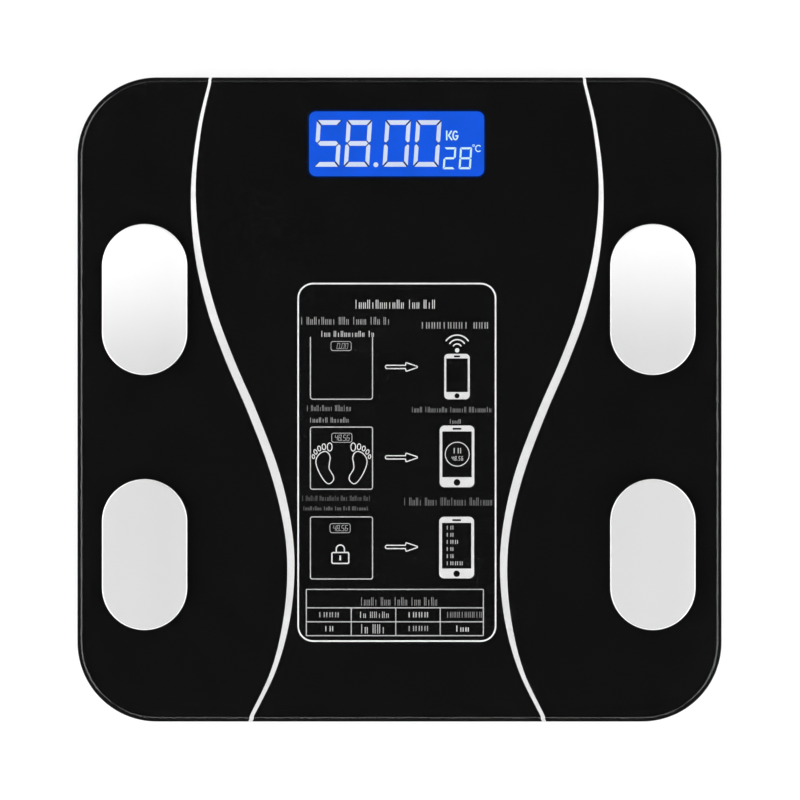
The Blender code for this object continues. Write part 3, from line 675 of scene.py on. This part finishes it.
def electrode(corner):
    """A plate with a polished, rounded rim, and the stud that carries its contact through the glass."""
    low, high = extent(f"electrode_{corner}")
    x, y, _ = (low + high) / 2
    width, length, _ = high - low
    top = high.z
    rim, drop = 0.45, 0.24  # how far in and down the rounded rim reaches
    foot = GLASS_TOP + 0.02
    profile = [(0.15, foot), (0, GLASS_TOP + 0.15)]
    for step in range(9):
        angle = pi / 2 * step / 8
        profile.append((rim * (1 - cos(angle)), top - drop * (1 - sin(angle))))
    profile.append((rim + 0.02, top))
    rings = [
        [
            (px, py, z)
            for px, py in rounded(
                x, y, width - 2 * inset, length - 2 * inset, width / 2 - inset, 32
            )
        ]
        for inset, z in [(0.6, foot)] + profile
    ]
    plate = loft(rings)
    stud = loft(
        [
            [(px, py, z) for px, py in oval(x, y, r, r)]
            for r, z in (
                (STUD_RADIUS - 0.3, low.z),
                (STUD_RADIUS, low.z + 0.3),
                (STUD_RADIUS, GLASS_TOP + 0.3),
            )
        ]
    )
    joined = bmesh.new()
    for each in (plate, stud):
        joined.from_mesh(finished(each, "half"))
    name = f"plate_{corner}"
    made = show(name, finished(joined, name), ELECTRODE_STEEL)
    made.data.materials.append(ELECTRODE_RIM)
    for face in made.data.polygons:
        face.material_index = int(face.normal.z < 0.9999)
    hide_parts(f"electrode_{corner}")


glass_slab()
for plate_corner in CORNERS:
    electrode(plate_corner)


# ------------------------------------------------------------------ artwork

# the display's window: its middle, its size and its corners' radius
WINDOW = (-1.16, 103.33, 70.8, 26.2, 2.8)


def black_sheet():
    """The black print over the glass's whole underside, with the display's window left clear."""
    inset, border = 0.75, 0.8
    size = GLASS_SIZE - 2 * inset
    outline = rounded(0, 0, size, size, GLASS_CORNER - inset, 32)
    x, y, width, height, radius = WINDOW
    opening = rounded(x, y, width + 2 * border, height + 2 * border, radius + border)
    window = rounded(x, y, width, height, radius)
    flat("black_print", [outline, opening], BLACK_Z, BLACK_INK)
    flat("window_border", [opening, window], BLACK_Z, NAVY_INK)


# the white curve: where it is from front to rear, how far out from the artwork's middle line, and its width
CURVE = [
    (130, 75.3, 1.1),
    (110, 79.85, 1.45),
    (85, 82.4, 1.85),
    (60, 80.6, 2.7),
    (36, 75.0, 3.35),
    (16, 67.7, 3.55),
    (-6, 58.2, 3.65),
    (-30, 49.3, 3.6),
    (-52, 44.2, 3.1),
    (-70, 43.0, 2.85),
    (-90, 44.9, 2.6),
    (-110, 50.2, 1.95),
    (-130, 59.8, 1.65),
]


def curve_at(height, column):
    """The curve's distance or width at some place from front to rear, smoothly between those given."""
    last = len(CURVE) - 1
    slopes = [
        (CURVE[min(i + 1, last)][column] - CURVE[max(i - 1, 0)][column])
        / (CURVE[min(i + 1, last)][0] - CURVE[max(i - 1, 0)][0])
        for i in range(last + 1)
    ]
    i = next(k for k in range(last) if height >= CURVE[k + 1][0])
    span = CURVE[i + 1][0] - CURVE[i][0]
    t = (height - CURVE[i][0]) / span
    return (
        (2 * t**3 - 3 * t**2 + 1) * CURVE[i][column]
        + (t**3 - 2 * t**2 + t) * span * slopes[i]
        + (3 * t**2 - 2 * t**3) * CURVE[i + 1][column]
        + (t**3 - t**2) * span * slopes[i + 1]
    )


def white_curves():
    """The two long curves, mirrored about the artwork's middle line, narrow at their ends."""
    reach = 129.2
    steps = 90
    loops = []
    for side in (-1, 1):
        outer, inner = [], []
        for step in range(steps + 1):
            y = reach - 2 * reach * step / steps
            middle, width = curve_at(y, 1), curve_at(y, 2)
            outer.append((AXIS + side * (middle + width / 2), y))
            inner.append((AXIS + side * (middle - width / 2), y))
        loops.append(outer + inner[::-1])
    flat("print_curves", loops, WHITE_Z, WHITE_INK)


def digit(lit, x, y, width, height, line, gap, lean):
    """The outlines of a seven-segment digit's lit segments, from its lower left corner.

    line is the width of the level strokes and of the upright ones, and gap is what parts them.
    """
    w, h, g, m = width, height, gap, height / 2
    t, p = line
    upright = [
        (0, h - g),
        (p, h - t - g),
        (p, m + t / 2 + g),
        (p * 0.45, m + g * 0.7),
        (0, m + t * 0.45),
    ]
    bar = [(g, h), (w - g, h), (w - p - g, h - t), (p + g, h - t)]
    shapes = {
        "a": bar,
        "b": [(w - u, v) for u, v in upright],
        "c": [(w - u, h - v) for u, v in upright],
        "d": [(u, h - v) for u, v in bar],
        "e": [(u, h - v) for u, v in upright],
        "f": upright,
        "g": [
            (p * 0.45 + g / 2, m),
            (p + g / 2, m + t / 2),
            (w - p - g / 2, m + t / 2),
            (w - p * 0.45 - g / 2, m),
            (w - p - g / 2, m - t / 2),
            (p + g / 2, m - t / 2),
        ],
    }
    skew = tan(radians(lean))
    return [[(x + u + v * skew, y + v) for u, v in shapes[s]] for s in lit]


LIT = {
    "0": "abcdef",
    "2": "abged",
    "4": "fgbc",
    "5": "afgcd",
    "6": "afgecd",
    "8": "abcdefg",
}


def unit_marks():
    """The small marks beside the figures: a ring and a C for the temperature, and K and G for the weight."""
    ring = outlined(lambda by: oval(29.95, 102.65, 0.5 - by, 0.5 - by), 0.25)
    c_bowl = arc(31.9, 101.45, 1.15, 1.25, 50, 310, 20)
    k_stem = [(19.1, 108.45), (19.1, 105.0)]
    k_arms = [(20.95, 108.45), (19.85, 106.7), (21.1, 105.0)]
    g_bowl = arc(22.6, 106.72, 0.95, 1.7, 50, 330, 20)
    g_bar = [(23.55, 106.55), (22.8, 106.55)]
    letters = stroke(c_bowl, 0.42) + stroke(k_stem, 0.6) + stroke(k_arms, 0.6)
    return ring + letters + stroke(g_bowl + g_bar, 0.58)


def display():
    """What the display shows: a weight, a temperature and their units."""
    low, tall, wide, lean = 94.1, 18.8, 10.17, 3.9
    lit, between = [], []
    for figure, x in (("5", -34.6), ("8", -22.5), ("0", -6.85), ("0", 5.55)):
        for gap, loops in ((0.46, lit), (0.03, between)):
            loops.extend(digit(LIT[figure], x, low, wide, tall, (1.88, 1.63), gap, lean))
    lit.append(oval(-9.55, low + 0.8, 1.0, 1.0))
    flat("display_digits", lit, DIGIT_Z, DIGIT_LIGHT)
    flat("display_shade", between, SHADE_Z, DIGIT_SHADE)
    marks = []
    for figure, x in (("2", 17.5), ("8", 23.9)):
        marks += digit(LIT[figure], x, 93.08, 4.9, 8.85, (0.82, 0.78), 0.16, lean)
    flat("display_marks", marks + unit_marks(), DIGIT_Z, MARK_LIGHT)


def words(lengths, x, y, width, height, even=False):
    """A line of text stood for by marks: each letter is two thin uprights, and each word a group of letters.

    Lengths are the letters in each word. Where the line isn't even, some letters are shorter than others.
    """
    gap, short = 0.7, 0.7  # the space between words, in letters, and how high a shorter letter is
    pitch = width / (sum(lengths) + gap * (len(lengths) - 1))
    left = x - width / 2
    low = y - height / 2
    loops = []
    count = 0
    for length in lengths:
        for letter in range(length):
            tall = even or letter == 0 or count * 5 % 7 in (1, 4)
            top = low + height * (1 if tall else short)
            for offset in (0.12, 0.56) if count % 4 else (0.34,):
                start = left + offset * pitch
                end = start + 0.19 * pitch
                loops.append([(start, low), (end, low), (end, top), (start, top)])
            left += pitch
            count += 1
        left += gap * pitch
    return loops


def number(text, x, y, height, line, lean=8):
    """A small printed number in seven-segment figures, centred on a point."""
    width, space, point = height * 0.46, 0.34, 0.45
    pitch = width + space
    total = sum(point if c == "." else pitch for c in text) - space
    left = x - total / 2
    loops = []
    for c in text:
        if c == ".":
            loops.append(oval(left + 0.05, y - height / 2 + 0.2, 0.2, 0.2, steps=8))
            left += point
        else:
            loops += digit(
                LIT[c], left, y - height / 2, width, height, (line, line), 0.03, lean
            )
            left += pitch
    return loops


def phone(x, y, width, height, screen, earpiece, radius):
    """A phone's solid front with its screen, earpiece and button cut out.

    screen is its middle's y, its width and its height, and earpiece is a width.
    """
    screen_y, screen_width, screen_height = screen
    top, bottom = y + height / 2, y - height / 2
    chin = screen_y - screen_height / 2 - bottom
    brow = top - screen_y - screen_height / 2
    return [
        rounded(x, y, width, height, radius),
        rounded(x, screen_y, screen_width, screen_height, 0.15, 2),
        rounded(x, top - 0.56 * brow, earpiece, 0.78, 0.34, 4),
        oval(x, bottom + 0.48 * chin, 0.27 * chin + 0.25, 0.27 * chin + 0.25),
    ]


def arrow(x, y):
    """An outlined arrow to the right, from its tail."""
    half, head, start, tip = 0.66, 1.66, 8.1, 12.87
    tail = arc(x + half, y, half, half, 90, 270, 30)
    point = [
        (x + start, y - half),
        (x + start + 0.25, y - head),
        (x + start + 0.6, y - head),
        (x + tip, y - 0.25),
        (x + tip, y + 0.25),
        (x + start + 0.6, y + head),
        (x + start + 0.25, y + head),
        (x + start, y + half),
    ]
    return stroke(tail + point, 0.42, closed=True)


def footprint(x, y, side):
    """The outline of one foot and its five toes."""
    sole = [
        (-6.6, 2.7),
        (-8.6, 1.95),
        (-10.1, -0.1),
        (-10.2, -2.6),
        (-8.8, -6.2),
        (-6.6, -9.5),
        (-4.9, -10.35),
        (-3.3, -9.0),
        (-3.3, -7.2),
        (-4.9, -4.4),
        (-4.9, -2.2),
        (-4.55, 0.1),
        (-5.2, 1.9),
    ]
    toes = [
        (-4.75, 4.5, 0.97, 1.65, 0),
        (-7.1, 4.6, 0.72, 1.2, 4),
        (-9.0, 3.9, 0.62, 1.0, 12),
        (-10.5, 2.5, 0.6, 0.95, 24),
        (-11.35, 0.6, 0.5, 0.8, 14),
    ]
    loops = stroke(smooth_loop([(x - side * u, y + v) for u, v in sole]), 0.40, True)
    for u, v, across, along, turn in toes:
        loops += stroke(
            oval(x - side * u, y + v, across, along, -side * turn, 16), 0.36, True
        )
    return loops


def padlock(x, y):
    """A padlock: an outlined body with a keyhole, and its shackle."""
    body = box_line(x, y, 7.3, 4.9, 0.8, 0.50)
    key = [rounded(x - 0.05, y, 0.65, 2.0, 0.2, 3)]
    reach, foot = 1.65, y + 2.45
    bow = arc(x, foot + 1.15, reach, reach, 180, 0, -15)
    shackle = [(x - reach, foot + 0.02)] + bow + [(x + reach, foot + 0.02)]
    return body + key + stroke(shackle, 0.50, ends=2)


# the three steps' boxes, the first at the rear
STEP_X, STEP_SIZE = -23.45, 25.5
STEP_Y = (12.65, -23.7, -60.0)


def printed(name, loops, finish):
    """A piece of the white print."""
    flat(name, loops, WHITE_Z, finish)


def step_boxes():
    """The step boxes' outlines, the small displays in them, and what those and the second phone show."""
    lines = open_box(STEP_X, STEP_Y[0], STEP_SIZE, STEP_SIZE, 1.0, 0.40)
    for y in STEP_Y[1:]:
        lines += box_line(STEP_X, y, STEP_SIZE, STEP_SIZE, 1.0, 0.40)
    for x, y in ((-23.6, 21.6), (-23.3, -15.45), (-24.0, -52.0)):
        lines += box_line(x, y, 8.4, 3.9, 1.0, 0.22)
    lines += number("48.56", 23.3, -23.8, 1.75, 0.24)
    for text, x, y in (("0.00", -23.2, 21.6), ("48.56", -23.3, -15.45), ("48.56", -24.0, -52.0)):
        lines += number(text, x, y, 2.4, 0.15)
    printed("print_step_boxes", lines, LINE_INK)


def signs():
    """The arrows, footprints and padlock, the first phone's radio waves, and the second phone's ring."""
    loops = []
    for y in (13.15, -23.4, -59.6):
        loops += arrow(-5.7, y)
    for side in (-1, 1):
        loops += footprint(STEP_X, STEP_Y[1], side)
    loops += padlock(-23.9, -64.05)
    for radius in (1.85, 3.6, 5.45):
        loops += stroke(arc(23.3, 20.6, radius, radius, 35, 145, 10), 0.52)
    loops.append(oval(23.3, 19.9, 0.88, 0.88))
    loops += outlined(lambda by: oval(23.35, -22.1, 5.0 - by, 5.0 - by, steps=40), 0.31)
    printed("print_signs", loops, SIGN_INK)


def phones():
    """The three phones, the first at the rear."""
    loops = phone(23.25, 9.25, 10.3, 18.35, (9.8, 8.7, 13.6), 2.5, 1.7)
    loops += phone(23.25, -23.0, 14.0, 24.95, (-22.15, 11.9, 18.5), 3.6, 2.0)
    loops += phone(23.1, -59.85, 14.1, 24.9, (-59.1, 11.8, 18.5), 3.6, 2.0)
    printed("print_phones", loops, PHONE_INK)


# the list on the third phone: where it starts, how wide a letter is, how far apart the rows are, and the rows
LIST_LEFT, LIST_FIRST = 18.5, -51.8
LETTER, ROW = 1.87, 2.88
PHONE_LIST = [
    (
        (letters,),
        LIST_LEFT + LETTER * letters / 2,
        LIST_FIRST - ROW * row,
        LETTER * letters,
        1.55,
        True,
    )
    for row, letters in enumerate((2, 2, 3, 2, 2, 4))
]

# the lines of text, as words() takes them, by piece and from the brightest ink to the faintest
TEXT = (
    (
        "print_titles",
        TITLE_INK,
        [
            ((12, 3, 3), -1.8, 38.5, 33.0, 3.6),
            ((3,), 25.4, -92.6, 6.2, 2.5),
            ((3, 9, 2), -21.0, 26.5, 22.0, 2.4),
        ],
    ),
    (
        "print_list",
        LIST_INK,
        [
            ((4,), 7.5, -87.0, 9.2, 2.2, True),
            ((2, 5), -10.2, -87.0, 12.5, 2.5),
            ((2, 3), -10.8, -92.7, 10.6, 3.7),
            ((2,), -28.5, -92.65, 4.5, 2.2, True),
            ((2,), 23.3, -20.7, 4.2, 2.2, True),
            *PHONE_LIST,
        ],
    ),
    (
        "print_captions",
        WORD_INK,
        [
            ((1, 8, 3, 4, 3, 2), -21.9, 31.8, 36.6, 3.1),
            ((9, 3), 22.3, 29.95, 28.0, 2.6, True),
            ((6, 6), -28.4, -8.3, 16.2, 2.1),
            ((4,), 22.5, -8.9, 5.0, 1.8),
            ((4,), -28.6, -87.0, 9.2, 2.1, True),
            ((4,), 7.5, -92.55, 9.2, 2.1, True),
        ],
    ),
    (
        "print_small_marks",
        SMALL_INK,
        [
            ((10,), 26.2, -87.0, 14.8, 2.4, True),
            ((1, 8, 6), -28.6, -3.5, 18.3, 2.4),
            ((4, 8, 6, 8), 21.0, -4.1, 32.6, 2.25),
            ((5, 3, 4, 3, 4), -0.2, -81.6, 31.5, 3.4),
        ],
    ),
    (
        "print_dim_marks",
        DIM_INK,
        [
            ((1, 4, 4, 8, 7), 19.6, -41.25, 36.2, 3.2),
            ((8, 4, 3, 3, 7), -25.8, -44.0, 26.5, 1.6),
        ],
    ),
    (
        "print_faint_marks",
        FAINT_INK,
        [((1, 5, 8, 3, 5, 3), -25.6, -39.9, 28.0, 2.1)],
    ),
)


def texts():
    """Every line of text, each piece in its own ink."""
    for name, finish, lines in TEXT:
        loops = []
        for line in lines:
            loops += words(*line)
        printed(name, loops, finish)


def table():
    """The small table: a solid block with its cells cut out, of which the top one is as wide as the table."""
    left, right, top, bottom = -37.85, 34.1, -76.55, -95.65
    line = 0.40
    rows, columns = (-84.2, -89.85), (-19.5, -1.5, 16.45)
    width, height = right - left, top - bottom
    cells = [rounded((left + right) / 2, (top + bottom) / 2, width, height, 0.5, 3)]
    levels = [top - line, *rows, bottom + line]
    for i, (high, low) in enumerate(zip(levels, levels[1:])):
        high -= line / 2 if i else 0
        low += line / 2 if i < len(rows) else 0
        walls = [left + line, *(columns if i else ()), right - line]
        for k, (a, b) in enumerate(zip(walls, walls[1:])):
            a += line / 2 if k else 0
            b -= line / 2 if k < len(walls) - 2 else 0
            cells.append([(a, low), (b, low), (b, high), (a, high)])
    printed("print_table", cells, LIST_INK)


def panel():
    """The framed block of pictograms: its frame, step boxes, signs, phones, captions and table."""
    printed("print_frame", box_line(-1.05, -25.4, 80.4, 145.1, 6.3, 0.62), FRAME_INK)
    step_boxes()
    signs()
    phones()
    texts()
    table()


black_sheet()
white_curves()
display()
panel()


def label():
    """The blank label in its recess under the shell, with a printed border and nothing on it."""
    x, y, width, height, margin = 0, 27, 51.2, 29.2, 3
    film_z, ink_z = (5.16, 5.28), (5.12, 5.15)
    outline = [rounded(x, y, width, height, 1.5)]
    line = box_line(x, y, width - margin, height - margin, 1.0, 0.35)
    flat("rating_label", outline, film_z, LABEL)
    flat("rating_label_border", line, ink_z, LABEL_INK)


label()


# -------------------------------------------------------- floor, light, view


def floor():
    """A pale floor, a little lit from within so that it stays white under the object's shadow."""
    shader = FLOOR.node_tree.nodes["Principled BSDF"]
    shader.inputs["Emission Color"].default_value = (1, 1, 1, 1)
    shader.inputs["Emission Strength"].default_value = 0.72
    made = bmesh.new()
    bmesh.ops.create_grid(made, x_segments=4, y_segments=4, size=4)
    mesh = bpy.data.meshes.new("studio_floor")
    made.to_mesh(mesh)
    made.free()
    mesh.materials.append(FLOOR)
    ground = bpy.data.objects.new("studio_floor", mesh)
    bpy.context.scene.collection.objects.link(ground)


def softbox(name, place, size, radiance):
    """A soft light facing the object, its place and size in metres. Radiance is how bright its face is."""
    lamp = bpy.data.lights.new(name, "AREA")
    lamp.shape = "RECTANGLE"
    lamp.size, lamp.size_y = size
    lamp.energy = radiance * pi * size[0] * size[1]
    made = bpy.data.objects.new(name, lamp)
    bpy.context.scene.collection.objects.link(made)
    made.location = place
    toward = Vector((0, 0, 0.02)) - Vector(place)
    made.rotation_mode = "QUATERNION"
    made.rotation_quaternion = toward.to_track_quat("-Z", "Y")
    made.visible_camera = False


def studio():
    """Soft light from all four sides, and dark straight above, so that the glass stays black."""
    softbox("softbox_left", (-0.80, 0, 1.05), (1.6, 0.9), 3.2)
    softbox("softbox_right", (0.80, 0, 1.05), (1.6, 0.9), 3.2)
    softbox("softbox_front", (0, -0.95, 1.1), (1.2, 0.7), 2.2)
    softbox("softbox_rear", (0, 0.95, 1.1), (1.2, 0.7), 0.7)

    world = bpy.data.worlds.new("studio")
    bpy.context.scene.world = world
    world.use_nodes = True
    tree = world.node_tree
    place = tree.nodes.new("ShaderNodeTexCoord")
    split = tree.nodes.new("ShaderNodeSeparateXYZ")
    tree.links.new(place.outputs["Generated"], split.inputs["Vector"])
    sky = ramp(
        tree,
        split.outputs["Z"],
        [
            (0.0, (0.85, 0.85, 0.85)),
            (0.07, (0.6, 0.6, 0.6)),
            (0.14, (0.07, 0.07, 0.07)),
            (0.4, (0.05, 0.05, 0.05)),
            (1.0, (0.015, 0.015, 0.015)),
        ],
    )
    tree.links.new(sky, tree.nodes["Background"].inputs["Color"])


def camera():
    """Straight down on the middle, from so far that the sides stay hidden."""
    lens, sensor = 200.0, 36.0
    width, off_middle = 322.7 * MM, 0.21 * MM
    data = bpy.data.cameras.new("camera")
    data.lens, data.sensor_width = lens, sensor
    made = bpy.data.objects.new("camera", data)
    bpy.context.scene.collection.objects.link(made)
    made.location = (off_middle, -off_middle, GLASS_TOP * MM + width * lens / sensor)
    bpy.context.scene.camera = made


floor()
studio()
camera()
bpy.context.scene.view_settings.view_transform = "Standard"
